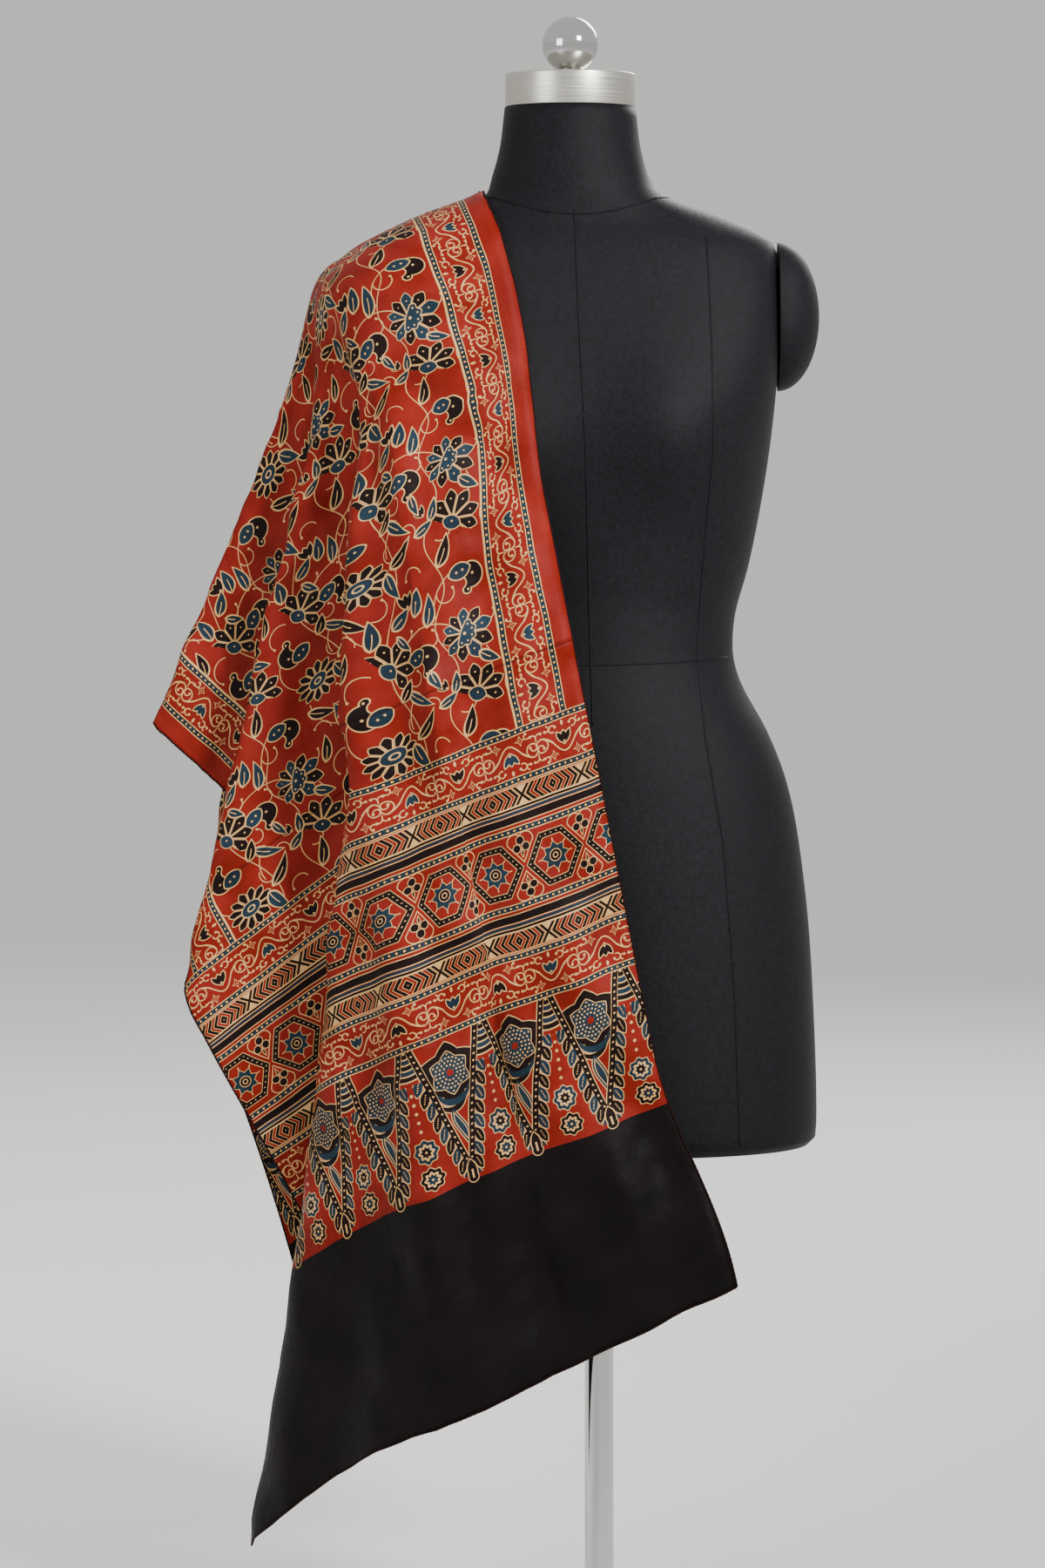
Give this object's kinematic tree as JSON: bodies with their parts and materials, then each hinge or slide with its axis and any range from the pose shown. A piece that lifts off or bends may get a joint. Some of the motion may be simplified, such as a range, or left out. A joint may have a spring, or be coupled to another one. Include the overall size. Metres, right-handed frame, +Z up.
{
  "type": "ajrakh stole on a dress form",
  "caption": "Rectangular block-printed stole hanging over one shoulder of a plain dress form on a round-footed stand, in deep folds below the shoulder's end.",
  "frame": {"origin": "on the floor under the middle of the neck, in the plane of the foot's underside", "axes": "+Z up, +X to the right as seen from in front, and the form's chest faces -Y"},
  "size_m": [0.5746, 0.35, 1.4048],
  "materials": {
    "printed_cloth": "dyed and block-printed cotton, soft and matte",
    "black_jersey": "close black knit stretched over the form",
    "brushed_cap": "brushed round the edge",
    "polished_metal": "polished"
  },
  "bodies": {
    "root": {"stole": "printed_cloth", "dress_form": "black_jersey", "arm_stump_left": "black_jersey", "arm_stump_right": "black_jersey", "neck_cap": "brushed_cap", "neck_ball": "polished_metal", "stand_pole": "polished_metal", "stand_foot": "polished_metal"}
  },
  "joints": []
}
